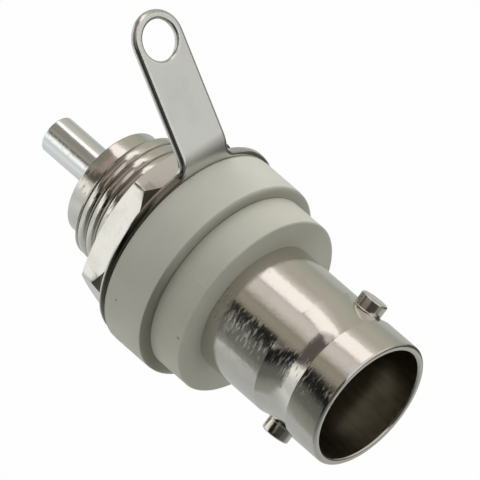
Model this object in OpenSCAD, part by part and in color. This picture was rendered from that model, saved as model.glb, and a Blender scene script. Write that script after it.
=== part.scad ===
// Isolated bayonet coaxial jack for a panel, with its hex nut and bent solder lug.
// The axis lies along Y: the mouth faces -Y, the solder tube +Y, and the lug's tab +Z.
// The origin is on the axis, in the plane where the front insulator seats on the panel.
// "Station" means a place along Y, and "clock" an angle about Y from +Z towards +X.

/* [Mating barrel] */
// Outside diameter of the barrel
barrel_d = 9.65; // [9.4:0.05:9.8]
// Bore of the barrel
barrel_bore_d = 8.12; // [7.9:0.02:8.3]
// Length of barrel that shows in front of the front insulator
barrel_reach = 10.9; // [10.4:0.05:13]
// Depth from the mouth to the shoulder that the plug's outer contact stops at
shoulder_depth = 8.4; // [8:0.1:8.8]
// Widening of the bore at the mouth, on the radius
mouth_lead = 0.25; // [0.1:0.05:0.4]
// Depth over which the bore narrows from its mouth
mouth_taper = 4.7; // [2:0.1:5]
// Rounding of the barrel's outer rim
rim_round = 0.2; // [0.1:0.05:0.35]
// Distance from the mouth to the middle of the bayonet pins
pin_depth = 4.25; // [3.8:0.05:4.6]
// Length of the shallow groove round the pins
groove_len = 3; // [2.6:0.1:3.6]
// Depth of the groove in its middle
groove_deep = 0.2; // [0.1:0.05:0.25]

/* [Bayonet pins] */
// Diameter of a bayonet pin
pin_d = 2; // [1.8:0.05:2.2]
// Distance across the tips of the two pins
pin_span = 11.1; // [10.9:0.05:11.4]
// Diameter of the shank that is pressed into the barrel's wall
pin_shank_d = 1.4; // [1:0.1:1.6]
// Diameter of a pin's conical foot where it stands on its seat
pin_foot_d = 2.3; // [2.25:0.05:2.6]
// Height of the foot's top above the barrel's surface
pin_foot_rise = 0.02; // [0:0.01:0.1]
// Depth of the flat seat under a pin, below the barrel's surface
pin_seat_deep = 0.4; // [0.35:0.01:0.5]
// Angle of the first pin round the axis, from the lug's tab
pin_angle = 41; // [0:1:90]

/* [Shank] */
// Major diameter of the 3/8-32 thread
thread_d = 9.525; // [9.4:0.025:9.65]
// Length from the panel plane to the end of the thread
thread_len = 9.75; // [8.5:0.05:12]
// Distance between the thread's crests
thread_pitch = 0.79375; // [0.7:0.00125:1]
// Depth of the thread as a share of its pitch
thread_share = 0.58; // [0.4:0.01:0.6]
// Chamfer at the thread's end
thread_lead = 0.25; // [0.15:0.05:0.4]
// Diameter of the smooth pilot behind the thread
pilot_d = 7.96; // [7.7:0.02:8.6]
// Length of the pilot, with the step up to the thread
pilot_len = 1.45; // [1:0.05:2.5]
// Slope of that step, from square to the axis
pilot_slope = 30; // [10:5:45]
// Diameter of the hidden flange that the front insulator is moulded round
grip_d = 11.6; // [10.8:0.1:12.2]
// Thickness of the hidden flange
grip_t = 1.2; // [0.8:0.1:1.4]
// Thickness of insulator in front of the hidden flange
grip_cover = 0.75; // [0.6:0.05:1]

/* [Insulators] */
// Diameter of the front insulator
front_ins_d = 13.55; // [13:0.05:14.5]
// Thickness of the front insulator in front of the panel
front_ins_t = 2.75; // [2.6:0.05:4]
// Diameter of the sleeve that fills the panel's hole
sleeve_d = 11.1; // [10.8:0.1:11.6]
// Length of the sleeve behind the panel plane
sleeve_len = 2.2; // [1.5:0.1:2.6]
// Rounding of the front insulator's front edge
front_ins_round = 0.35; // [0.2:0.05:0.6]
// Diameter of the rear insulator
rear_ins_d = 15; // [14:0.05:16]
// Thickness of the rear insulator
rear_ins_t = 3.7; // [3.4:0.1:5]
// Rounding of the rear insulator's front edge
rear_ins_round = 0.5; // [0.2:0.05:0.7]
// Rounding of the rear insulator's back edge
rear_ins_back_round = 0.2; // [0.1:0.05:0.4]

/* [Solder lug] */
// Thickness of the lug's sheet
lug_t = 0.5; // [0.3:0.05:0.7]
// How far the outline of the lug's ring lies off the axis, towards the tab
lug_shift = 0.35; // [0:0.05:0.4]
// Width of the tab
tab_w = 4; // [3.6:0.05:4.6]
// Distance from the rear insulator's rim to the start of the bend
tab_root = 0.2; // [0.05:0.05:1]
// Angle through which the tab is bent back
tab_bend = 45; // [20:1:60]
// Inside radius of the bend
bend_r = 1; // [0.5:0.1:2]
// Length from the end of the bend to the middle of the eyelet
tab_reach = 7.65; // [6:0.05:10]
// Diameter of the eyelet
eyelet_d = 2.6; // [1.8:0.1:2.8]

/* [Hex nut] */
// Distance across the nut's flats
nut_af = 12.7; // [12:0.1:14]
// Thickness of the nut
nut_t = 2.4; // [2:0.1:3]
// Angle of the chamfer on the nut's back face
nut_back_angle = 25; // [15:1:45]
// Angle of the chamfer on the face against the lug
nut_front_angle = 42; // [15:1:45]
// Angle of the first flat round the axis, from the lug's tab
nut_angle = -2; // [-30:0.5:30]

/* [Contact and dielectrics] */
// Diameter of the front dielectric's nose
nose_d = 4.76; // [4.6:0.02:4.9]
// Depth of the nose's face inside the mouth
nose_depth = 3.4; // [3.1:0.1:3.8]
// Depth of the contact's tip inside the mouth
contact_depth = 3.2; // [3:0.1:3.7]
// Diameter of the contact's socket
socket_d = 2.1; // [1.95:0.05:2.2]
// Bore of the contact's socket
socket_bore_d = 1.38; // [1.34:0.01:1.42]
// Depth of the socket's bore
socket_deep = 4.8; // [4.4:0.1:5.5]
// Width of the slot that splits the socket
slot_w = 0.25; // [0.2:0.05:0.35]
// Length of the slot
slot_len = 4.2; // [3:0.1:4.3]
// Diameter of the cavity that holds the dielectrics
cavity_d = 6.6; // [6:0.1:6.8]
// Thickness of the web between the barrel and the cavity
web_t = 2; // [1:0.1:3]
// Length of the front dielectric's body inside the cavity
body_len = 6; // [4:0.1:8]
// Diameter of the collar that holds the contact between the dielectrics
collar_d = 3.4; // [3:0.1:4]
// Thickness of the collar
collar_t = 0.8; // [0.5:0.1:1.2]
// Length of the lip that is rolled over the rear dielectric
lip_len = 0.4; // [0.2:0.05:0.6]
// Inward reach of the lip
lip_reach = 0.25; // [0.15:0.05:0.4]
// Diameter of the solder tube
tube_d = 2.7; // [2.4:0.05:3]
// Length of the solder tube behind the shell
tube_len = 5.45; // [4:0.05:8]
// Bore of the solder tube
tube_bore_d = 1.7; // [1.3:0.05:1.9]
// Depth of the solder tube's bore
tube_deep = 4.5; // [2:0.1:5]
// Slope of the cone that a drill leaves at a bore's end, from square to the axis
drill_slope = 30; // [20:1:32]

/* [Clearances] */
// Gap round pieces that are pressed or moulded together
seat_gap = 0.02; // [0.01:0.005:0.05]
// Gap round the thread in the nut
nut_gap = 0.04; // [0.02:0.01:0.08]
// Gap round the thread in the lug and the rear insulator
slip_gap = 0.12; // [0.08:0.01:0.2]
// Gap round the sleeve in the rear insulator
sleeve_gap = 0.15; // [0.1:0.01:0.25]
// Gap between the sleeve's end and the floor of its counterbore
sleeve_end_gap = 0.2; // [0.1:0.05:0.4]
// Room for the socket's leaves to spread in the nose
leaf_gap = 0.25; // [0.15:0.05:0.4]
// Gap round a bayonet pin's foot at its seat
foot_gap = 0.05; // [0.02:0.01:0.1]
// Small edge break on turned pieces
edge = 0.12; // [0.05:0.01:0.15]

/* [Hidden] */
$fn = 96;
// Overlap that keeps cuts clean
eps = 0.05;
// Radii
barrel_r = barrel_d / 2;
bore_r = barrel_bore_d / 2;
thread_r = thread_d / 2;
pilot_r = pilot_d / 2;
grip_r = grip_d / 2;
cavity_r = cavity_d / 2;
nose_r = nose_d / 2;
socket_r = socket_d / 2;
tube_r = tube_d / 2;
pin_r = pin_d / 2;
pin_tip_r = pin_span / 2;
pin_foot_r = barrel_r + pin_foot_rise;
pin_seat_r = barrel_r - pin_seat_deep;
// Stations of the shell, from the mouth to the rear
mouth_y = -(barrel_reach + front_ins_t);
shoulder_y = mouth_y + shoulder_depth;
cavity_y = shoulder_y + web_t;
grip_y = -front_ins_t + grip_cover;
thread_end_y = thread_len;
shell_end_y = thread_len + pilot_len;
pilot_step = (thread_r - thread_lead - pilot_r) * tan(pilot_slope);
// Depth and crest of the thread, whose flanks stand 30 degrees from square, and its rings
thread_deep = thread_pitch * thread_share;
thread_slope = tan(30);
thread_crest = thread_pitch / 8;
thread_rings = floor((thread_len - sleeve_len) / thread_pitch);
// The groove is an arc through its two ends and its deepest point
groove_r = (groove_len * groove_len / 4 + groove_deep * groove_deep) / (2 * groove_deep);
// Stations of what the nut clamps
lug_y = rear_ins_t;
lug_ring_r = rear_ins_d / 2;
nut_y = lug_y + lug_t;
counterbore_deep = sleeve_len + sleeve_end_gap;
// Stations of the contact and the dielectrics
contact_y = mouth_y + contact_depth;
nose_y = mouth_y + nose_depth;
collar_y = cavity_y + body_len;
bead_end_y = shell_end_y - lip_len;
tube_end_y = shell_end_y + tube_len;
// The tab's sheet is bent about this station and height
bend_y = nut_y + bend_r;
bend_z = lug_ring_r + tab_root;

// Turns an outline of [radius, station] points about the jack's axis.
module turned() {
    rotate([-90, 0, 0]) rotate_extrude() children();
}

// Lays children built along +Z along the jack's axis, at a station.
module on_axis(y) {
    translate([0, y, 0]) rotate([-90, 0, 0]) children();
}

// Places children built along +Z on a radius of the jack, at a clock angle.
module at_clock(angle, y) {
    translate([0, y, 0]) rotate([0, angle, 0]) children();
}

// Cuts the corner of an outline to a round. The outline lies below the corner's radius,
// and side is 1 where it lies behind the corner's station and -1 where it lies in front.
module round_cut(r, y, round, side) {
    translate([r - round, y + side * round]) difference() {
        translate([0, side > 0 ? -round - eps : 0]) square(round + eps);
        circle(r = round);
    }
}

// One ring of the thread, cut into an outline whose edge is the thread's major radius.
module thread_cut() {
    half = (thread_pitch - thread_crest) / 2;
    polygon([
        [eps, -half - eps * thread_slope],
        [-thread_deep, thread_deep * thread_slope - half],
        [-thread_deep, half - thread_deep * thread_slope],
        [eps, half + eps * thread_slope]
    ]);
}

// Outline of the shell: barrel, hidden flange, thread and pilot, and the stepped bore.
module shell_outline() {
    difference() {
        polygon([
            [bore_r + mouth_lead, mouth_y],
            [barrel_r, mouth_y],
            [barrel_r, grip_y],
            [grip_r, grip_y],
            [grip_r, grip_y + grip_t],
            [thread_r, grip_y + grip_t],
            [thread_r, thread_end_y - thread_lead],
            [thread_r - thread_lead, thread_end_y],
            [pilot_r, thread_end_y + pilot_step],
            [pilot_r, shell_end_y - edge],
            [pilot_r - edge, shell_end_y],
            [cavity_r - lip_reach, shell_end_y],
            [cavity_r - lip_reach, bead_end_y],
            [cavity_r, bead_end_y],
            [cavity_r, cavity_y],
            [nose_r + seat_gap, cavity_y],
            [nose_r + seat_gap, shoulder_y],
            [bore_r, shoulder_y],
            [bore_r, mouth_y + mouth_taper]
        ]);
        round_cut(barrel_r, mouth_y, rim_round, 1);
        translate([barrel_r - groove_deep + groove_r, mouth_y + pin_depth]) circle(r = groove_r, $fn = 240);
        for (ring = [1 : thread_rings])
            translate([thread_r, thread_end_y - (ring - 0.5) * thread_pitch]) thread_cut();
    }
}

// Flat seat and hole for one bayonet pin.
module pin_seat() {
    translate([0, 0, pin_seat_r]) cylinder(r = pin_foot_d / 2 + foot_gap, h = pin_tip_r);
    cylinder(r = pin_shank_d / 2, h = pin_tip_r);
}

module shell() {
    color([0.78, 0.76, 0.72]) difference() {
        turned() shell_outline();
        for (turn = [0, 180]) at_clock(pin_angle + turn, mouth_y + pin_depth) pin_seat();
    }
}

// One bayonet pin: a flat-ended head on a conical foot that stands on the seat, and a shank
// that ends flush with the barrel's bore.
module bayonet_pin(angle) {
    color([0.78, 0.76, 0.72]) difference() {
        at_clock(angle, mouth_y + pin_depth) rotate_extrude() polygon([
            [0, 0],
            [pin_shank_d / 2 - seat_gap, 0],
            [pin_shank_d / 2 - seat_gap, pin_seat_r],
            [pin_foot_d / 2, pin_seat_r],
            [pin_r, pin_foot_r],
            [pin_r, pin_tip_r - edge],
            [pin_r - edge, pin_tip_r],
            [0, pin_tip_r]
        ]);
        on_axis(mouth_y) cylinder(r = bore_r + seat_gap, h = 2 * pin_depth);
    }
}

module bayonet_pin_upper() {
    bayonet_pin(pin_angle);
}

module bayonet_pin_lower() {
    bayonet_pin(pin_angle + 180);
}

// Nose and body of the front dielectric, which is pushed in from the rear up to the web.
module front_dielectric() {
    color([0.93, 0.92, 0.88]) turned() polygon([
        [socket_r + leaf_gap, nose_y],
        [nose_r - edge, nose_y],
        [nose_r, nose_y + edge],
        [nose_r, cavity_y],
        [cavity_r - seat_gap, cavity_y],
        [cavity_r - seat_gap, collar_y],
        [collar_d / 2 + seat_gap, collar_y],
        [collar_d / 2 + seat_gap, collar_y - collar_t],
        [socket_r + seat_gap, collar_y - collar_t],
        [socket_r + seat_gap, contact_y + socket_deep],
        [socket_r + leaf_gap, contact_y + socket_deep]
    ]);
}

// Bead that closes the cavity and holds the contact's collar.
module rear_dielectric() {
    color([0.93, 0.92, 0.88]) turned() polygon([
        [tube_r + seat_gap, collar_y],
        [cavity_r - seat_gap, collar_y],
        [cavity_r - seat_gap, bead_end_y],
        [tube_r + seat_gap, bead_end_y]
    ]);
}

// Contact: a split socket in front, a collar in the middle and a solder tube behind.
module centre_contact() {
    color([0.80, 0.78, 0.74]) difference() {
        turned() polygon([
            [socket_bore_d / 2 + edge, contact_y],
            [socket_r - edge, contact_y],
            [socket_r, contact_y + edge],
            [socket_r, collar_y - collar_t],
            [collar_d / 2, collar_y - collar_t],
            [collar_d / 2, collar_y],
            [tube_r, collar_y],
            [tube_r, tube_end_y - edge],
            [tube_r - edge, tube_end_y],
            [tube_bore_d / 2, tube_end_y],
            [tube_bore_d / 2, tube_end_y - tube_deep],
            [0, tube_end_y - tube_deep - tube_bore_d / 2 * tan(drill_slope)],
            [0, contact_y + socket_deep + socket_bore_d / 2 * tan(drill_slope)],
            [socket_bore_d / 2, contact_y + socket_deep],
            [socket_bore_d / 2, contact_y + edge]
        ]);
        translate([-slot_w / 2, contact_y - eps, -socket_r - eps])
            cube([slot_w, slot_len + eps, 2 * (socket_r + eps)]);
    }
}

// Front insulator: a disc moulded round the shell's flange, with a sleeve for the panel's hole.
module front_insulator() {
    sleeve_r = sleeve_d / 2;
    color([0.75, 0.75, 0.69]) turned() difference() {
        polygon([
            [barrel_r + seat_gap, -front_ins_t],
            [front_ins_d / 2, -front_ins_t],
            [front_ins_d / 2, 0],
            [sleeve_r, 0],
            [sleeve_r, sleeve_len - 2 * edge],
            [sleeve_r - 2 * edge, sleeve_len],
            [thread_r + seat_gap, sleeve_len],
            [thread_r + seat_gap, grip_y + grip_t],
            [grip_r + seat_gap, grip_y + grip_t],
            [grip_r + seat_gap, grip_y],
            [barrel_r + seat_gap, grip_y]
        ]);
        round_cut(front_ins_d / 2, -front_ins_t, front_ins_round, 1);
    }
}

// Rear insulator: a thick washer with a counterbore that takes the sleeve.
module rear_insulator() {
    color([0.72, 0.72, 0.67]) turned() difference() {
        polygon([
            [sleeve_d / 2 + sleeve_gap, 0],
            [rear_ins_d / 2, 0],
            [rear_ins_d / 2, rear_ins_t],
            [thread_r + slip_gap, rear_ins_t],
            [thread_r + slip_gap, counterbore_deep],
            [sleeve_d / 2 + sleeve_gap, counterbore_deep]
        ]);
        round_cut(rear_ins_d / 2, 0, rear_ins_round, 1);
        round_cut(rear_ins_d / 2, rear_ins_t, rear_ins_back_round, -1);
    }
}

// Places children built in a side view, with +X towards the mouth and +Y outwards.
module side_view() {
    translate([0, bend_y, bend_z]) rotate([90, 0, -90]) children();
}

// The tab after its bend, lying flat: +Y runs along it and the sheet is lug_t thick.
module flat_tab() {
    difference() {
        union() {
            translate([-tab_w / 2, 0, 0]) cube([tab_w, tab_reach, lug_t]);
            translate([0, tab_reach, 0]) cylinder(d = tab_w, h = lug_t);
        }
        translate([0, tab_reach, -eps]) cylinder(d = eyelet_d, h = lug_t + 2 * eps);
    }
}

// Flat ring of the lug, cut off where the bend starts.
module lug_ring() {
    intersection() {
        translate([0, 0, lug_shift]) on_axis(lug_y) cylinder(r = lug_ring_r, h = lug_t);
        translate([-lug_ring_r, lug_y, bend_z - 2 * lug_ring_r]) cube([2 * lug_ring_r, lug_t, 2 * lug_ring_r]);
    }
}

// Lug: a flat ring under the nut, with a tab that is bent back and ends in an eyelet.
module solder_lug() {
    color([0.80, 0.80, 0.77]) difference() {
        union() {
            lug_ring();
            translate([-tab_w / 2, lug_y, thread_r + slip_gap]) cube([tab_w, lug_t, bend_z - thread_r - slip_gap]);
            side_view() rotate_extrude(angle = tab_bend) translate([bend_r, -tab_w / 2]) square([lug_t, tab_w]);
            side_view() rotate([0, 0, tab_bend]) translate([bend_r, 0, 0]) rotate([0, 90, 0]) flat_tab();
        }
        on_axis(lug_y - eps) cylinder(r = thread_r + slip_gap, h = lug_t + 2 * eps);
    }
}

// Hex nut, chamfered on both faces down to the circle across its flats.
module hex_nut() {
    corner_r = nut_af / 2 / cos(30);
    tall = corner_r - nut_af / 2;
    bore = thread_r + nut_gap;
    color([0.80, 0.80, 0.78]) difference() {
        intersection() {
            at_clock(nut_angle, nut_y) rotate([-90, 0, 0]) cylinder(r = corner_r, h = nut_t, $fn = 6);
            turned() polygon([
                [0, nut_y],
                [nut_af / 2, nut_y],
                [corner_r + eps, nut_y + (tall + eps) * tan(nut_front_angle)],
                [corner_r + eps, nut_y + nut_t - (tall + eps) * tan(nut_back_angle)],
                [nut_af / 2, nut_y + nut_t],
                [0, nut_y + nut_t]
            ]);
        }
        turned() polygon([
            [0, nut_y - eps],
            [bore + edge + eps, nut_y - eps],
            [bore, nut_y + edge],
            [bore, nut_y + nut_t - edge],
            [bore + edge + eps, nut_y + nut_t + eps],
            [0, nut_y + nut_t + eps]
        ]);
    }
}

shell();
bayonet_pin_upper();
bayonet_pin_lower();
front_dielectric();
rear_dielectric();
centre_contact();
front_insulator();
rear_insulator();
solder_lug();
hex_nut();
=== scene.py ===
"""Isolated bayonet panel jack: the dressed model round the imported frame."""
import math

import bmesh
import bpy
from mathutils import Matrix, Vector


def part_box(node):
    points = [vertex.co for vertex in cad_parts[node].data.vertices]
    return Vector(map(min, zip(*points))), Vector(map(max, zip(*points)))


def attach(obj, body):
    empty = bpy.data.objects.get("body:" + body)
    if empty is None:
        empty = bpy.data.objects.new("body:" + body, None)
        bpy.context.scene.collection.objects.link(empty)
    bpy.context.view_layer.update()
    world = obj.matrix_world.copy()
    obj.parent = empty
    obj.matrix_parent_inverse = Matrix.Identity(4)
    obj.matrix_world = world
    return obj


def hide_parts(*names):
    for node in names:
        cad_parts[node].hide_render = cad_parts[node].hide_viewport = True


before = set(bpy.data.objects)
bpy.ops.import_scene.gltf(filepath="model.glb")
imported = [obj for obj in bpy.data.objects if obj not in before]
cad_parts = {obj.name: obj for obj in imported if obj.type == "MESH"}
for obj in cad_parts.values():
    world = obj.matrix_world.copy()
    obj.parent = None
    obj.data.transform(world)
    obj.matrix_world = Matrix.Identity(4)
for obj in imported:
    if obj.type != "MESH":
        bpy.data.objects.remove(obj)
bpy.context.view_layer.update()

bl_info = {
    "name": "Isolated bayonet jack",
    "version": (1, 0, 0),
    "blender": (4, 5, 0),
    "location": "3D View > Sidebar > Jack",
    "description": "Dresses an isolated bayonet panel jack: shell, insulators, lug, nut and contact",
    "category": "Object",
}

# ---------------------------------------------------------------- sizes from the frame, in millimetres

MM = 1000.0
AXIS_Y = Vector((0, 1, 0))
GAP = 0.02  # between pieces that are pressed or moulded together
SLIP = 0.12  # round the thread, in what slides over it


def span(node, axis):
    """Lowest and highest coordinate of a frame node along an axis, in millimetres."""
    low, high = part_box(node)
    return low[axis] * MM, high[axis] * MM


MOUTH, SHELL_END = span("shell", 1)
FLANGE_R = span("shell", 0)[1]
FRONT_FACE, SLEEVE_END = span("front_insulator", 1)
FRONT_R = span("front_insulator", 0)[1]
REAR_FACE, REAR_BACK = span("rear_insulator", 1)
REAR_R = span("rear_insulator", 0)[1]
RING_R = span("solder_lug", 0)[1]
NUT_FRONT, NUT_BACK = span("hex_nut", 1)
CONTACT_TIP, TUBE_END = span("centre_contact", 1)
NOSE, COLLAR = span("front_dielectric", 1)
BEAD_END = span("rear_dielectric", 1)[1]
CAVITY_R = span("rear_dielectric", 0)[1] + GAP

WELD = 0.0015  # points nearer than this are one
SHARP = 38  # degrees, above which an edge is shaded sharp
DEGREES = 180 / math.pi
THREAD_TURN = math.radians(140)  # clock angle of the thread's first point
THREAD_PHASE = 0.12  # turns by which the thread is wound on there
FLANGE = (-2.0, -0.8)  # stations of the shell's hidden flange
LIP = 0.25  # width of the shell's lip behind the rear dielectric
WEB_HOLE = 2.40  # radius of the hole in the shell's web
CHAMFER = 0.25  # at the end of the thread
SLEEVE_R = 5.55  # the front insulator's sleeve, in the panel's hole
COUNTERBORE_R = 5.7  # the rear insulator's counterbore round the sleeve
COUNTERBORE_END = SLEEVE_END + 0.2
COLLAR_R, COLLAR_LENGTH = 1.7, 0.8  # the contact's collar
SOCKET_END = CONTACT_TIP + 4.8
SLOT_END = CONTACT_TIP + 4.2
CUP_END = TUBE_END - 4.5
LEAF_ROOM = 0.25  # room round the socket for its leaves to spread
CONE = math.tan(math.radians(30))  # slope of drilled ends, and of the step behind the thread


# ---------------------------------------------------------------- what a user may change


def length(name, description, default):
    return bpy.props.FloatProperty(
        name=name, description=description, default=default / MM, min=0.0, unit="LENGTH", precision=5
    )


def degrees(name, description, default):
    return bpy.props.FloatProperty(
        name=name, description=description, default=math.radians(default), subtype="ANGLE", unit="ROTATION"
    )


def colour(name, description, default):
    return bpy.props.FloatVectorProperty(
        name=name, description=description, default=default, size=3, min=0.0, max=1.0, subtype="COLOR"
    )


def share(name, description, default, top=1.0):
    return bpy.props.FloatProperty(name=name, description=description, default=default, min=0.0, max=top)


class JackShellSizes(bpy.types.PropertyGroup):
    barrel: length("Barrel", "Radius of the mating barrel", 4.825)
    bore: length("Bore", "Radius of the barrel's bore", 4.06)
    mouth_lead: length("Mouth lead", "How much the bore widens towards the mouth", 0.25)
    mouth_taper: length("Mouth taper", "Depth to which the bore narrows", 4.7)
    shoulder: length("Shoulder", "Depth of the shoulder in the mouth", 8.4)
    web: length("Web", "Thickness of the web behind the shoulder", 2.0)
    rim: length("Rim", "Rounding of the barrel's rim", 0.2)
    groove: length("Groove", "Depth of the groove round the pins", 0.2)
    groove_length: length("Groove length", "Length of the groove round the pins", 3.0)
    thread: length("Thread", "Outside radius of the thread", 4.7625)
    pitch: length("Pitch", "Distance between the thread's crests", 0.79375)
    thread_depth: length("Thread depth", "Depth of the thread", 0.46)
    thread_start: length("Thread start", "Distance from the panel plane to the thread's start", 2.3)
    thread_end: length("Thread end", "Distance from the panel plane to the thread's end", 9.75)
    pilot: length("Pilot", "Radius of the smooth end behind the thread", 3.98)


class JackPinSizes(bpy.types.PropertyGroup):
    radius: length("Radius", "Radius of a bayonet pin", 1.0)
    tip: length("Tip", "Distance from the axis to a pin's tip", 5.55)
    depth: length("Depth", "Distance from the mouth to the pins", 4.25)
    angle: degrees("Angle", "Angle of the first pin round the axis, from the lug's tab", 41.0)


class JackInsulatorSizes(bpy.types.PropertyGroup):
    front_edge: length("Front edge", "Rounding of the front disc's front edge", 0.16)
    rear_edge: length("Rear edge", "Rounding of the rear disc's front edge", 0.3)
    flash: length("Flash", "Height of the moulding seam on the discs", 0.022)


class JackLugSizes(bpy.types.PropertyGroup):
    width: length("Width", "Width of the tab", 4.06)
    ring_shift: length("Ring shift", "Distance of the ring's middle from the axis, towards the tab", 0.35)
    eyelet: length("Eyelet", "Radius of the eyelet", 1.3)
    bend: degrees("Bend", "Angle of the tab's bend", 45.0)
    bend_radius: length("Bend radius", "Inside radius of the bend", 2.0)
    bend_height: length("Bend height", "Distance from the axis to the start of the bend", 7.286)
    reach: length("Reach", "Distance from the bend to the eyelet's middle", 7.236)
    front_edge: length("Front edge", "Rounding that the punch leaves round the front", 0.33)
    back_edge: length("Back edge", "Rounding of the edges at the back", 0.05)
    break_out: share("Break-out", "How much wider the eyelet gets towards the back, per length", 0.28)


class JackNutSizes(bpy.types.PropertyGroup):
    flats: length("Across flats", "Distance across the nut's flats", 12.7)
    angle: degrees("Angle", "Angle of the first flat round the axis", -2.0)
    front_chamfer: degrees("Front chamfer", "Slope of the chamfer towards the lug", 42.0)
    back_chamfer: degrees("Back chamfer", "Slope of the chamfer on the back face", 25.0)


class JackContactSizes(bpy.types.PropertyGroup):
    tube: length("Tube", "Radius of the solder tube", 1.35)
    tube_bore: length("Tube bore", "Radius of the solder tube's bore", 0.85)
    socket: length("Socket", "Radius of the contact's socket", 1.05)
    socket_bore: length("Socket bore", "Radius of the socket's bore", 0.69)
    slot: length("Slot", "Width of the slot in the socket", 0.25)
    nose: length("Nose", "Radius of the front dielectric's nose", 2.38)


class JackColours(bpy.types.PropertyGroup):
    nickel: colour("Nickel", "Plating of the shell and its pins", (0.66, 0.635, 0.585))
    lug: colour("Lug", "Plating of the solder lug", (0.66, 0.66, 0.63))
    nut: colour("Nut", "Plating of the nut", (0.68, 0.665, 0.63))
    contact: colour("Contact", "Plating of the contact and its tube", (0.80, 0.81, 0.80))
    front_plastic: colour("Front disc", "Plastic of the front insulator", (0.52, 0.52, 0.445))
    rear_plastic: colour("Rear disc", "Plastic of the rear insulator", (0.535, 0.54, 0.47))
    dielectric: colour("Dielectric", "Plastic round the contact", (0.80, 0.78, 0.72))


class JackStudio(bpy.types.PropertyGroup):
    azimuth: degrees("Azimuth", "Camera's place round the jack", -50.925)
    elevation: degrees("Elevation", "Camera's height above the horizon", 43.175)
    roll: degrees("Roll", "Camera's roll", 11.863)
    distance: bpy.props.FloatProperty(
        name="Distance", description="Camera's distance", default=1.0, unit="LENGTH"
    )
    lens: bpy.props.FloatProperty(
        name="Lens", description="Focal length", default=1155.75, subtype="DISTANCE_CAMERA"
    )
    room: share("Room light", "Strength of the room's soft light", 1.0, 4.0)
    softbox: share("Softbox", "Brightness of the softbox above", 0.55, 8.0)


GROUPS = {
    "jack_shell": JackShellSizes,
    "jack_pins": JackPinSizes,
    "jack_insulators": JackInsulatorSizes,
    "jack_lug": JackLugSizes,
    "jack_nut": JackNutSizes,
    "jack_contact": JackContactSizes,
    "jack_colours": JackColours,
    "jack_studio": JackStudio,
}


class Sizes:
    """The lengths of a property group, read in millimetres, and its angles in radians."""

    def __init__(self, group):
        self.group = group

    def __getattr__(self, name):
        value = getattr(self.group, name)
        unit = self.group.bl_rna.properties[name].unit
        return value * MM if unit == "LENGTH" else value


# ---------------------------------------------------------------- meshes


def rounded(corners, steps=5):
    """Points of a closed outline from its (radius, station) corners, some with a rounding, in millimetres."""
    points = []
    for i, (r, y, *rounding) in enumerate(corners):
        here = Vector((r, y))
        if not any(rounding):
            points.append((r, y))
            continue
        before = Vector(corners[i - 1][:2]) - here
        after = Vector(corners[(i + 1) % len(corners)][:2]) - here
        half = before.angle(after) / 2
        near = min(before.length, after.length) * 0.49
        cut = min(rounding[0] / math.tan(half), near)
        middle = here + (before.normalized() + after.normalized()).normalized() * cut / math.cos(half)
        start, end = here + before.normalized() * cut - middle, here + after.normalized() * cut - middle
        turn = start.angle_signed(end)
        for k in range(steps + 1):
            spoke = start.copy()
            spoke.rotate(Matrix.Rotation(-turn * k / steps, 2))
            points.append(tuple(middle + spoke))
    return points


def full_turn(segments, start=0.0):
    """Clock angles once round the axis, both ends included."""
    return [start + 2 * math.pi * k / segments for k in range(segments + 1)]


def turned(name, outline, angles):
    """A closed solid turned about the jack's axis. outline(angle) gives its points at a clock angle."""
    vertices, faces = [], []
    columns = [outline(a) for a in angles]
    rows = len(columns[0])
    for a, column in zip(angles, columns):
        s, c = math.sin(a), math.cos(a)
        vertices.extend((r * s, y, r * c) for r, y in column)
    for j in range(len(angles) - 1):
        for i in range(rows):
            k = (i + 1) % rows
            faces.append((j * rows + i, j * rows + k, (j + 1) * rows + k, (j + 1) * rows + i))
    return solid(name, vertices, faces)


def solid(name, vertices, faces):
    """An object from points in millimetres: welded, facing outwards and shaded smooth between its edges."""
    mesh = bpy.data.meshes.new(name)
    mesh.from_pydata([Vector(v) / MM for v in vertices], [], faces)
    work = bmesh.new()
    work.from_mesh(mesh)
    bmesh.ops.remove_doubles(work, verts=work.verts, dist=WELD / MM)
    bmesh.ops.dissolve_degenerate(work, edges=work.edges, dist=WELD / MM / 10)
    bmesh.ops.recalc_face_normals(work, faces=work.faces)
    work.to_mesh(mesh)
    work.free()
    return piece(name, mesh)


def linked(name, data):
    """A new object in the scene."""
    made = bpy.data.objects.new(name, data)
    bpy.context.scene.collection.objects.link(made)
    return made


def piece(name, mesh, sharp=SHARP):
    """A mesh as an object with smooth faces, sharp edges and weighted normals."""
    made = linked(name, mesh)
    mesh.shade_smooth()
    mesh.set_sharp_from_angle(angle=math.radians(sharp))
    evened = made.modifiers.new("Even normals", "WEIGHTED_NORMAL")
    evened.keep_sharp = True
    return made


def finish_piece(made, body, slot, material, *nodes):
    """Gives a piece its material and body, and hides the frame nodes that it stands for. The slot is not used.
    """
    made.data.materials.append(material)
    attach(made, body)
    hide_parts(*nodes)
    return made


# ---------------------------------------------------------------- shader graphs


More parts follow.
